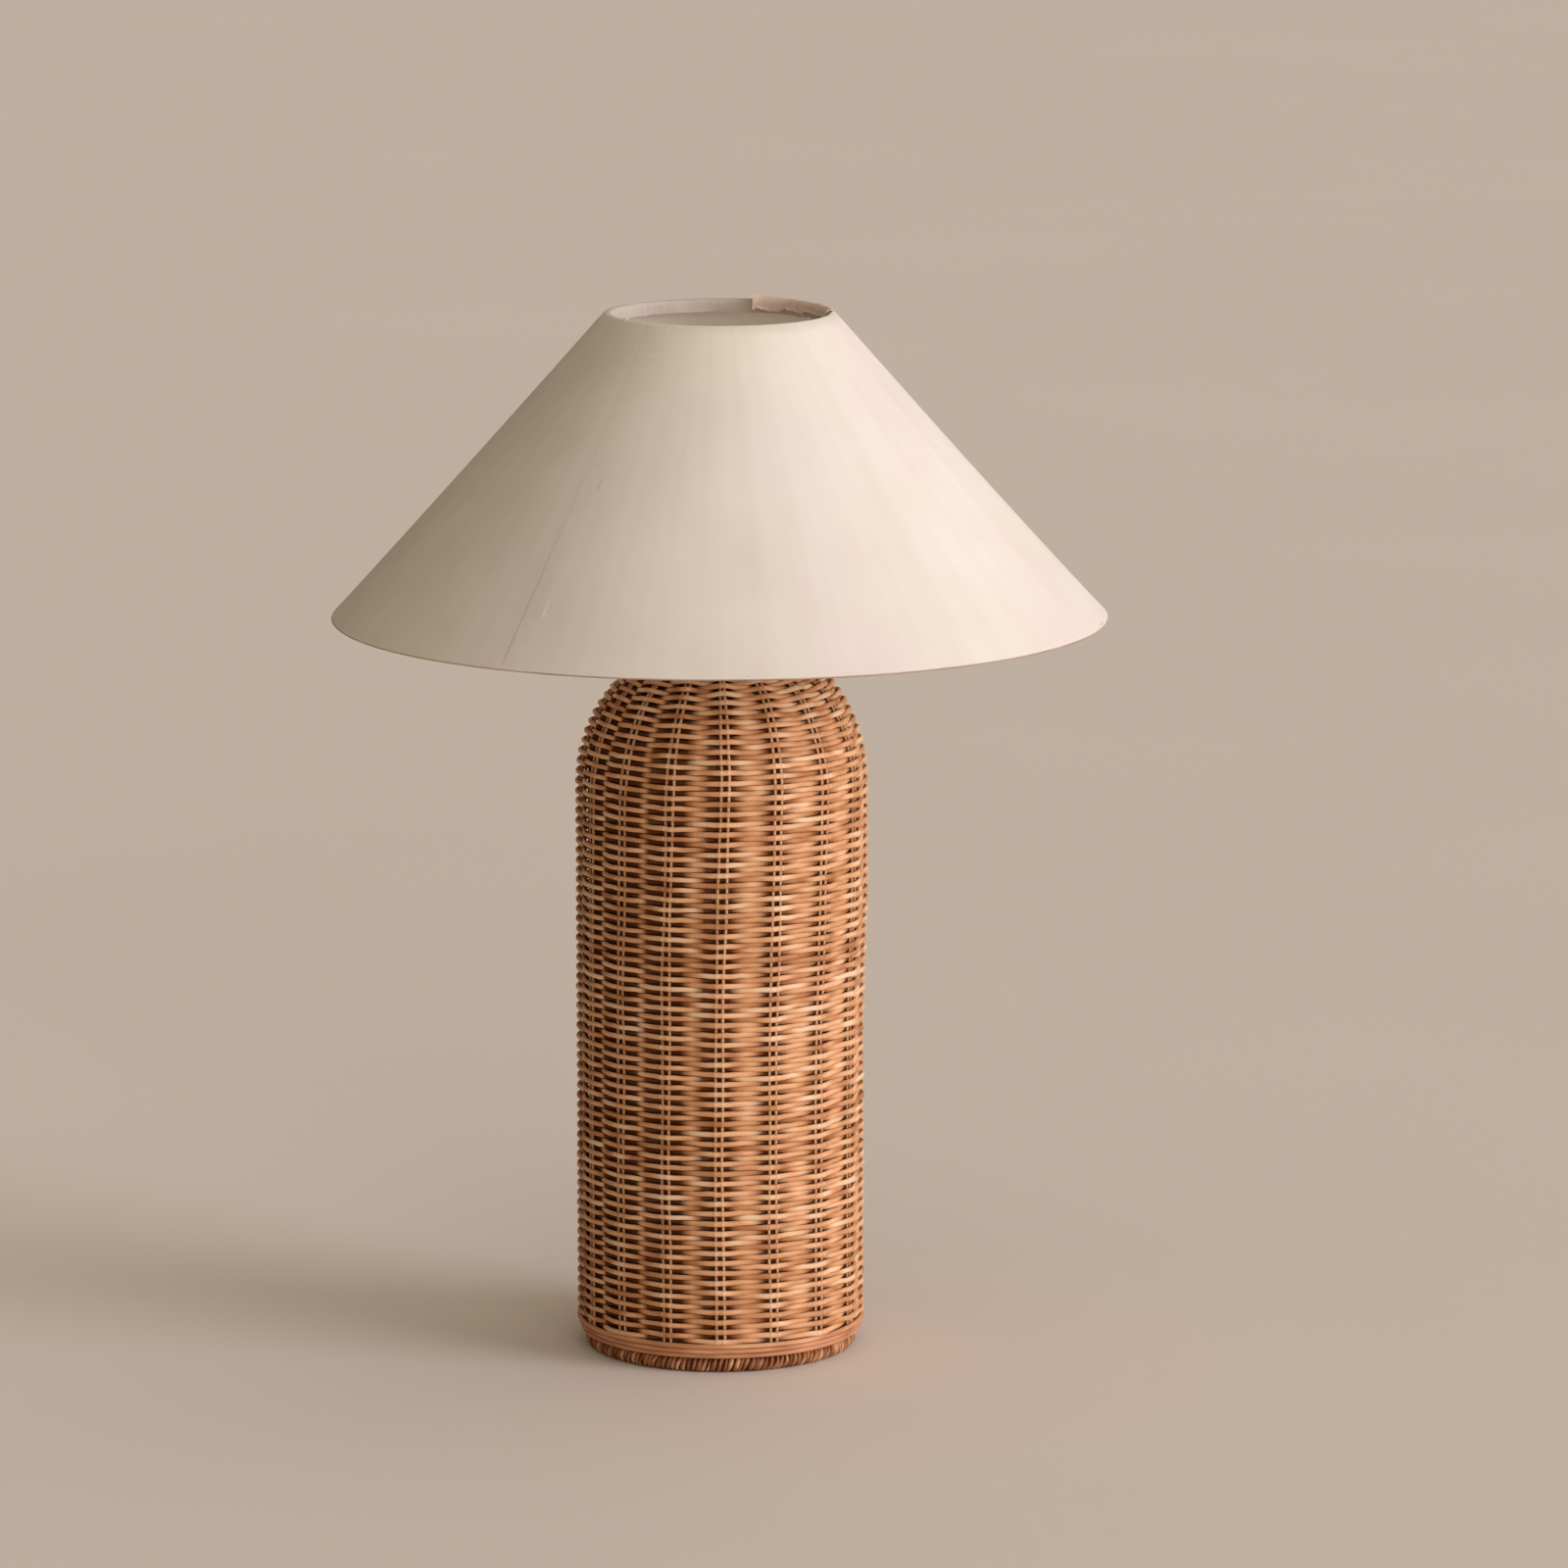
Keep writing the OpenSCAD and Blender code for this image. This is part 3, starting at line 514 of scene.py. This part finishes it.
def cut_at_gland(turn, crease, s):
    """What is kept of a row at s, and whether it still runs right round past the gland's flange."""
    short, end_gap = abs(s - GLAND_Z), 0.002
    if short >= GLAND_HIDE + STRAND_R:
        return turn, crease, True
    half = math.sqrt(max(GLAND_HIDE ** 2 - short ** 2, GLAND_LEAST ** 2)) / BODY_R
    ends = GLAND_TURN + half, GLAND_TURN + TAU - half
    kept = (turn > ends[0] + end_gap) & (turn < ends[1] - end_gap)
    return (np.concatenate([ends[:1], turn[kept], ends[1:]]),
            np.concatenate([[0.0], crease[kept], [0.0]]), False)


def strand_wave(turn, row, s):
    """From 1, outside a pair of stakes, to -1, inside one."""
    phase = pair_place(turn, s) * math.pi
    steep = by_side(turn, STEEP)
    sign = 1 if row % 2 == 0 else -1
    return sign * (np.cos(phase) + steep * np.cos(3 * phase)) / (1 + steep)


def drift(turn, s):
    """How far the rows wander up or down, the same for neighbours, so that they stay in order."""
    rng = np.random.default_rng(5)
    total = np.zeros_like(turn)
    for k in (1, 2, 3, 5, 8):
        total += rng.normal() * np.cos(k * turn + rng.uniform(0, TAU) + s * rng.uniform(20, 60)) / k
    return DRIFT * total * min(1.0, (s - WEAVE_Z) / DRIFT_FROM)


def weave_rows(name, node, first, last, rng):
    """Rows of the weave as one piece: strands that pass outside and inside the stakes."""
    shape = Shape()
    places, on_stake = round_turns()
    for row in range(first, last + 1):
        s = WEAVE_Z + row * ROW_PITCH
        turn, crease, closed = cut_at_gland(places + sway(s), on_stake, s)
        over = strand_wave(turn, row, s)
        crease = crease * np.maximum(0, over)
        wander = s + drift(turn, s)
        wander = wander + ripple(rng, turn, 3, 14, ROW_WAVER) + ripple(rng, turn, 14, 50, ROW_WAVER)
        x, z, bend = weave_line(wander)
        out, _ = spoke(turn)
        normal, rise = tilted(out, bend)
        lift = WAVE * over - SINK + fullness(turn, s) + CREASE * crease
        lift = lift + ripple(rng, turn, 4, 16, LIFT_WAVER)
        centre = placed(out, x, z) + normal * lift[:, None]
        thick = STRAND_R * (1 + ripple(rng, turn, 1, 6, THICK_WAVER))
        # 0.20 * crease paints a highlight along the ridge where a strand bends over a stake.
        tone = 0.31 + rng.normal() * 0.11 + ripple(rng, turn, 5, 30, 0.11) + 0.20 * crease
        spots = np.append(turn, turn[0] + TAU) / TAU
        full = by_side(turn, FULL)
        # The depth value paints shade: strands darken where they lie back from the stakes, and where
        # they pass inside them most at the left of the body, away from the window, and more at the left
        # of each pair than at its right.
        inside = np.maximum(0, -over) * by_side(turn, PAINTED_SHADE_BY_SIDE)
        inside = inside * (1 - 0.2 * np.sin(pair_place(turn, s) * TAU))
        shape.tube(centre, normal, rise, thick * (0.90 - 0.06 * over),
                   thick * (full + (full - 1.03) * over), sides=10, closed=closed,
                   band=(row - first, last - first + 1), spots=spots, flat=0.78, tone=tone,
                   depth=0.45 * (1 - np.maximum(0, over)) + 0.55 * inside)
    shape.piece(name, "body", "weave", CANE, node)


def rows_in(node):
    """Number of rows from the foot up to the top of a node, by its highest point."""
    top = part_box(node)[1].z
    _, z, bend = weave_line(WEAVE_Z + ROW_PITCH * np.arange(MOST_ROWS))
    above = z + STRAND_R + WAVE * np.sin(bend) > top + ROW_PITCH / 4
    return int(np.argmax(above))


def weave():
    """All four bands of the weave, each in place of its own node. Returns the number of rows."""
    rng = np.random.default_rng(11)
    first = 0
    for band in ("lower", "middle", "upper", "shoulder"):
        last = rows_in("weave_" + band) - 1
        weave_rows("woven_" + band, "weave_" + band, first, last, rng)
        first = last + 1
    return first


def stakes(rows):
    """Pairs of thin upright stakes, tucked in at the foot and bent over the shoulder."""
    rng = np.random.default_rng(23)
    shape = Shape()
    spread = math.asin(PAIR_GAP / 2 / LINE_R)
    last_row = WEAVE_Z + rows * ROW_PITCH - ROW_PITCH
    tuck_length = math.hypot(TUCK, KNEE_Z - FOOT_H)
    s = np.concatenate([np.linspace(-tuck_length, 0, 6)[:-1] + KNEE_Z,
                        np.linspace(KNEE_Z, last_row, 150)])
    slow = TAU * (s - s[0]) / (s[-1] - s[0]) * 0.9
    below = np.maximum(0, KNEE_Z - s) / tuck_length
    x, z, bend = weave_line(np.maximum(s, KNEE_Z))
    x, z = x - below * TUCK, z - below * (KNEE_Z - FOOT_H)
    z[0] += STAKE_R / 4
    for i in range(PAIRS):
        for side in (-1, 1):
            wobble = ripple(rng, slow, 1, 5, 0.00022) + ripple(rng, slow, 8, 20, 0.00006)
            turn = i * STEP + STAKE_TURN - BACK + side * spread + sway(s) + wobble / x
            out, along = spoke(turn)
            normal, _ = tilted(out, bend)
            centre = placed(out, x, z) + normal * fullness(turn, s)[:, None]
            thick = STAKE_R * (1 + ripple(rng, slow, 2, 9, THICK_WAVER))
            tone = 0.33 + rng.normal() * 0.09 + ripple(rng, slow, 4, 20, 0.07)
            shape.tube(centre, normal, along, thick * 0.95, thick * 1.04, sides=8, closed=False,
                       band=(2 * i + (side > 0), 2 * PAIRS), tone=tone, depth=0.25)
    shape.piece("cane_stakes", "body", "stakes", STAKE_CANE, "stakes")


def hoops():
    """Smooth canes packed under the weave, which follow the stakes in towards the foot."""
    rng = np.random.default_rng(31)
    shape = Shape()
    lean = math.atan(TUCK / (KNEE_Z - FOOT_H))
    off_stakes, pulled_in = (STAKE_R + HOOP_R + GAP) / math.cos(lean), 0.0001
    turn = circle(192, BACK)
    out, _ = spoke(turn)
    for i in range(HOOPS):
        z = FOOT_H + GAP + HOOP_R + i * (2 * HOOP_R + GAP)
        x = LINE_R - TUCK * (KNEE_Z - z) / (KNEE_Z - FOOT_H) + off_stakes
        centre = placed(out, x - pulled_in + ripple(rng, turn, 2, 9, 0.00010),
                        z + ripple(rng, turn, 1, 7, 0.00008))
        thick = HOOP_R * (1 + ripple(rng, turn, 2, 9, THICK_WAVER))
        tone = 0.30 + 0.05 * i + ripple(rng, turn, 3, 20, 0.08)
        shape.tube(centre, out, UP, thick * 0.97, thick, sides=10, closed=True, band=(i, HOOPS),
                   tone=tone, depth=0.2)
    shape.piece("cane_hoops", "body", "hoops", HOOP_CANE, "foot_hoops")


def border():
    """The foot: a core wound round and round with a thin strand, as a plaited border looks."""
    rng = np.random.default_rng(41)
    shape = Shape()
    middle, half_w, half_h = FOOT_R - FOOT_W / 2, FOOT_W / 2, FOOT_H / 2
    out, _ = spoke(circle(96))
    # The core is painted dark, as shade between the windings.
    shape.tube(out * middle + UP * half_h, out, UP, half_w - BORDER_R, half_h - BORDER_R, sides=12,
               closed=True, band=(0, 5), tone=0.1, depth=0.9)
    starts, winds, steps = 2, 80, 14
    k = np.arange(winds * steps)
    for start in range(starts):
        turn = (k + start * steps / starts) * TAU / (winds * steps)
        turn = turn + ripple(rng, turn, 20, 60, 0.003) + ripple(rng, turn, 60, 170, 0.003)
        wind = k * TAU / steps + ripple(rng, turn, 10, 40, 0.10)
        out, _ = spoke(turn)
        thick = BORDER_R * (1 + ripple(rng, turn, 20, 120, 0.22))
        section = placed(out, np.cos(wind), np.sin(wind))
        centre = placed(out, middle + (half_w - thick) * np.cos(wind),
                        half_h + (half_h - thick) * np.sin(wind))
        side = np.cross(section, np.roll(centre, -1, 0) - np.roll(centre, 1, 0))
        side /= np.linalg.norm(side, axis=1)[:, None]
        tone = 0.36 + ripple(rng, turn, 10, 60, 0.10) + ripple(rng, turn, 60, 120, 0.16)
        # The depth value paints shade on the round of the border: darker where the winding turns away
        # from its outer face, to the top, the bottom and inside.
        shape.tube(centre, section, side, thick, thick * 1.12, sides=6, closed=True,
                   band=(2 + start, 2 + starts), tone=tone, depth=0.72 - 0.60 * np.cos(wind))
    shape.piece("plaited_border", "body", "border", BORDER_CANE, "foot_border")


def splinters():
    """A few frayed ends that stand off the strands."""
    rng = np.random.default_rng(53)
    shape = Shape()
    count, splinter_r = 16, 0.00016
    t = np.linspace(0, 1, 7)
    for i in range(count):
        turn = rng.uniform(0, TAU)
        s = rng.uniform(WEAVE_Z + 0.03, SHOULDER_Z + 0.02)
        length, lift = rng.uniform(0.004, 0.010), rng.uniform(0.0003, 0.0012)
        x, z, bend = weave_line(s + (t ** 2) * rng.uniform(-0.0012, 0.0012))
        out, _ = spoke(turn + t * length / BODY_R)
        normal, _ = tilted(out, bend)
        centre = placed(out, x, z) + normal * (WAVE * 0.4 + STRAND_R * 0.9 + t * lift)[:, None]
        thick = splinter_r * (1.15 - t)
        shape.tube(centre, normal, UP, thick, thick, sides=5, closed=False, band=(i, count),
                   tone=rng.uniform(0.1, 0.6), depth=0.3)
    shape.piece("frayed_ends", "body", "weave", CANE)


# ---------------------------------------------------------------- shade

def cover_out(z):
    """Radius of the cover's outer face at a height."""
    return SHADE_TOP_R + (LAMP_H - z) * SLOPE


def wire_at(z):
    """Centre of a wire ring that lies against the cover at a height, as (radius, height)."""
    return np.array([cover_out(z) - COVER_W - SLIM / math.cos(LEAN), z])


def dent(turn, z):
    """How far the cover is drawn in, by slow swells that fade towards its wire rings."""
    rng = np.random.default_rng(61)
    up = (z - COVER_Z) / (LAMP_H - COVER_Z)
    swell = sum(rng.normal() * np.cos(k * turn + rng.uniform(0, TAU) + up * rng.uniform(-2, 2))
                / k ** 0.7 for k in range(2, 9))
    return SLACK * (4 * up * (1 - up)) * (swell - SLACK_MEAN)


def cover():
    """The stiff cone of cloth on laminate, a little uneven, with real thickness."""
    heights = np.linspace(COVER_Z, LAMP_H, 30)
    lip = 0.00025
    outer = np.stack([cover_out(heights), heights], -1)
    section = np.concatenate([outer, outer[::-1] - [COVER_W, 0]])
    section[0, 1] += lip
    section[len(heights) - 1, 1] -= lip
    turn = circle(360, BACK)
    around = np.repeat(section[None], len(turn), 0)
    around[..., 0] += dent(turn[:, None], section[None, :, 1])
    lined = np.broadcast_to(np.arange(len(section)) >= len(heights), around.shape[:2])
    shape = Shape()
    shape.grid(revolved(spoke(turn)[0], around), closed=True, lined=lined)
    shape.piece("shade_cone", "shade", "shade", SHADE_CLOTH, "shade_cover", sharp=50)


def seam():
    """The lap where the cover's ends are glued: one cut edge shows, the other is rubbed down."""
    rng = np.random.default_rng(67)
    low, high = COVER_Z + 0.0012, LAMP_H - 0.0008
    heights = np.linspace(low, high, 40)
    across = np.array([-0.5, -0.485, -0.4, -0.2, 0.0, 0.2, 0.35, 0.5])
    lift_all, lift_low, fade = 0.00004, 0.00010, 0.07   # more lift at the bottom, up to height fade
    proud = lift_all + lift_low * np.clip(1 - (heights - low) / fade, 0, 1)
    radius = cover_out(heights)[:, None] + dent(SEAM_TURN, heights)[:, None]
    faces = []
    for side in (1, -1):
        row = across[::side]
        edge = np.clip(np.minimum((row + 0.5) / 0.015, (0.5 - row) / 0.5), 0.1, 1)
        lift = proud[:, None] * edge if side > 0 else -SEAM_T / 2
        width = SEAM_W + ripple(rng, heights / (high - low) * TAU, 1, 4, 0.0003)
        out, _ = spoke(SEAM_TURN + row[None, :] * width[:, None] / radius)
        faces.append(out * (radius + lift)[..., None] + UP * heights[:, None, None])
    shape = Shape()
    shape.grid(np.concatenate(faces, 1), closed=False)
    shape.piece("shade_lap", "shade", "shade", SHADE_CLOTH, "shade_seam", sharp=35)


def arc(centre, radius, first, last, n):
    """Points of an arc in the section, from first to last degrees."""
    a = np.radians(np.linspace(first, last, n))
    return np.stack([centre[0] + radius * np.cos(a), centre[1] + radius * np.sin(a)], -1)


def turned_in(rng, turn):
    """The cloth that is turned in over the upper wire ring and hangs inside it."""
    top = wire_at(LAMP_H - FAT)
    start, hang = math.degrees(LEAN) - 10, LAMP_H - TURN_IN
    section = np.concatenate([
        arc(top, FAT, start, 180, 16),
        np.linspace((top[0] - FAT, top[1]), (top[0] - FAT, hang), 8)[1:],
        np.linspace((top[0] - SLIM, hang), (top[0] - SLIM, top[1]), 8)[:-1],
        arc(top, SLIM, 180, start, 16)])
    below_rim, stands_off = 0.0001, 0.0003
    section[:, 1] = np.minimum(section[:, 1], LAMP_H - below_rim)
    around = np.repeat(section[None], len(turn), 0)
    loose = np.clip((top[1] - section[:, 1]) / (top[1] - hang), 0, 1) * (section[:, 0] < top[0])
    uneven = ripple(rng, turn, 4, 30, 0.00022) + ripple(rng, turn, 30, 120, 0.00010)
    around[..., 1] += loose * uneven[:, None]
    around[..., 0] += loose * (stands_off + ripple(rng, turn, 3, 24, 0.00030))[:, None]
    around[..., 0] += ripple(rng, turn, 20, 90, 0.00006)[:, None]
    tape(around, turn, "top_turn_in", "tape_top", SHADED_TURNED_CLOTH, "upper_hem")


def rolled_under(rng, turn):
    """The thin roll of tape under the lower wire ring, which shows as a line along the rim."""
    low = wire_at(COVER_Z + WIRE_R + GAP)
    edge, bead, thin = COVER_Z + 0.0015, SHADE_Z + 0.0004, 0.0001
    section = np.concatenate([
        [[cover_out(edge), edge], [cover_out(edge) + 2 * thin, edge - thin],
         [cover_out(bead) + thin, bead], [cover_out(bead) - 4 * thin, SHADE_Z],
         [low[0], COVER_Z - TAPE_T / 2]],
        arc(low, FAT, -100, -300, 12), arc(low, SLIM, -300, -95, 10),
        [[low[0], COVER_Z + 0.00002], [cover_out(COVER_Z) - thin, COVER_Z]]])
    swell = ripple(rng, turn, 10, 60, 0.004) + ripple(rng, turn, 60, 140, 0.002)
    middle = section.mean(0)
    around = middle + (section[None] - middle) * (1 + swell)[:, None, None]
    tape(around, turn, "bottom_tape", "tape_bottom", BOTTOM_TAPE, "lower_hem")


def tape(around, turn, name, slot, material, node):
    """A tape that runs round the shade, from its section at each turn."""
    shape = Shape()
    shape.grid(revolved(spoke(turn)[0], around), closed=True)
    shape.piece(name, "shade", slot, material, node, sharp=50)


def tapes():
    """The tapes at both rims."""
    rng = np.random.default_rng(71)
    turn = circle(480, BACK)
    turned_in(rng, turn)
    rolled_under(rng, turn)


def flap():
    """The torn end of the turned cloth, lapped over its start and standing a little proud."""
    rng = np.random.default_rng(79)
    steps, first, last = 140, 71.5, 1
    turn = np.radians(np.linspace(first, last, steps))
    t = np.linspace(0, 1, steps)
    centre_r, centre_z = wire_at(LAMP_H - FAT)
    end_lift, settles, stands_off = 0.0016, 6, 0.00035
    shorter, narrows = 0.0017, 0.0020                   # against the cloth that it laps
    lift = end_lift * np.exp(-t * settles) + stands_off + ripple(rng, turn * 5, 3, 14, 0.00012)
    torn = ripple(rng, turn * 5, 3, 9, 0.00070) + ripple(rng, turn * 5, 9, 26, 0.00028)
    hang = LAMP_H - TURN_IN + shorter + torn + narrows * t
    out, _ = spoke(turn)
    a = np.radians(np.linspace(62, 180, 14))
    down = np.linspace(0, 1, 9)[1:]
    curl = 0.0006 * down ** 2 + 0.8 * torn[:, None] * down ** 3
    faces = []
    for thick, order in ((TAPE_T, 1), (0.0, -1)):
        base = FAT + lift[:, None] + thick
        r, z = centre_r + base * np.cos(a), centre_z + base * np.sin(a)
        r = np.concatenate([r, r[:, -1:] - curl], 1)
        z = np.concatenate([z, z[:, -1:] + (hang[:, None] - z[:, -1:]) * down], 1)
        faces.append(revolved(out, np.stack([r, z], -1)[:, ::order]))
    shape = Shape()
    shape.grid(np.concatenate(faces, 1), closed=False)
    shape.piece("top_flap", "shade", "tape_top", TORN_TAPE, sharp=50)


# ---------------------------------------------------------------- bulb

def screw_cap():
    """The bulb's screw cap, with a rolled thread and a smooth wall inside."""
    pitch, depth, inner, plain = 0.00363, 0.0009, 0.004, 0.003
    bottom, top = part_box("bulb_cap")
    low, high, radius = bottom.z + plain, top.z - plain, top.x
    foot, rim = bottom.z + 0.0004, top.z - 0.0001
    turn = circle(96)
    z = np.linspace(low, high, int((high - low) / pitch * 10))
    fade = np.clip(np.minimum(z - low, high - z) / pitch, 0, 1)
    phase = TAU * z[None] / pitch - turn[:, None]
    r = radius - depth * fade * (0.5 - 0.5 * np.cos(phase))
    wall = np.stack([r, np.broadcast_to(z, r.shape)], -1)
    below, above = (np.broadcast_to(ends, (len(turn), 2, 2)) for ends in (
        [[inner, foot], [radius - 0.0002, foot]], [[radius - 0.0006, rim], [inner, rim]]))
    shape = Shape()
    shape.grid(revolved(spoke(turn)[0], np.concatenate([below, wall, above], 1)), closed=True)
    shape.piece("screw_cap", "bulb", "bulb_metal", CAP_METAL, "bulb_cap", sharp=45)


# ---------------------------------------------------------------- stage, light and camera

def stage():
    """A wide pale floor."""
    rings, below_lamp = np.array([0.02, 0.3, 1.0, 3.0, 8.0, 20.0]), 0.0002
    shape = Shape()
    shape.grid(spoke(circle(96))[0][None] * rings[:, None, None], closed=False)
    mesh = bpy.data.meshes.new("floor")
    faces = np.concatenate(shape.quads).tolist() + [shape.caps[0]]
    mesh.from_pydata(np.concatenate(shape.points).tolist(), [], faces)
    material, tree, bsdf = shader("floor_pale", Roughness=0.8)
    patches = add(tree, "TexNoise", Vector=place_map(tree), Scale=1.6, Detail=2.0)
    wire_up(tree, bsdf, ramp(tree, patches, (0.3, (0.800, 0.735, 0.675)),
                             (0.7, (0.812, 0.747, 0.687))))
    mesh.materials.append(material)
    floor = bpy.data.objects.new("floor", mesh)
    floor.location.z = -below_lamp
    bpy.context.scene.collection.objects.link(floor)


def daylight(name, energy, spread, colour, azimuth, elevation):
    """A far soft light: azimuth from the front towards the right, and elevation, in degrees."""
    sun = bpy.data.lights.new(name, "SUN")
    sun.energy, sun.angle, sun.color = energy, math.radians(spread), colour
    lamp = bpy.data.objects.new(name, sun)
    lamp.rotation_euler = (math.radians(90 - elevation), 0, math.radians(azimuth))
    bpy.context.scene.collection.objects.link(lamp)


def lights():
    """Soft daylight from the right, a little from the front, and a room that is darker at the left."""
    daylight("window", energy=3.0, spread=36, colour=(0.93, 0.90, 1.0), azimuth=66, elevation=9)
    daylight("room_front", energy=0.66, spread=34, colour=(1.0, 0.93, 0.85), azimuth=12, elevation=10)
    world = bpy.data.worlds.new("room")
    world.use_nodes = True
    tree = world.node_tree
    bright_way = (0.700, -0.120, 0.704)
    way = add(tree, "VectorMath", operation="DOT_PRODUCT", Vector=add(tree, "TexCoord")).node
    way.inputs[1].default_value = bright_way
    room = ramp(tree, remap(tree, way.outputs["Value"], 0.0, 1.0, -1.0, 1.0),
                (0.0, (0.05, 0.035, 0.022)), (0.35, (0.10, 0.075, 0.05)),
                (0.55, (0.28, 0.225, 0.160)), (0.85, (0.60, 0.525, 0.43)), (1.0, (0.64, 0.57, 0.475)))
    tree.links.new(room, tree.nodes["Background"].inputs["Color"])
    bpy.context.scene.world = world


def camera():
    """A long lens, from a little above the lamp and looking slightly down."""
    down = 10.41
    data = bpy.data.cameras.new("view")
    data.lens, data.sensor_width, data.clip_end = 191.2, 36, 100
    obj = bpy.data.objects.new("view", data)
    obj.location = (0.033, -4.232, 1.073)
    obj.rotation_euler = (math.radians(90 - down), 0, 0)
    bpy.context.scene.collection.objects.link(obj)
    bpy.context.scene.camera = obj


camera()
lights()
stage()
stakes(weave())
hoops()
border()
splinters()
cover()
seam()
tapes()
flap()
screw_cap()
bpy.context.scene.view_settings.view_transform = "Standard"
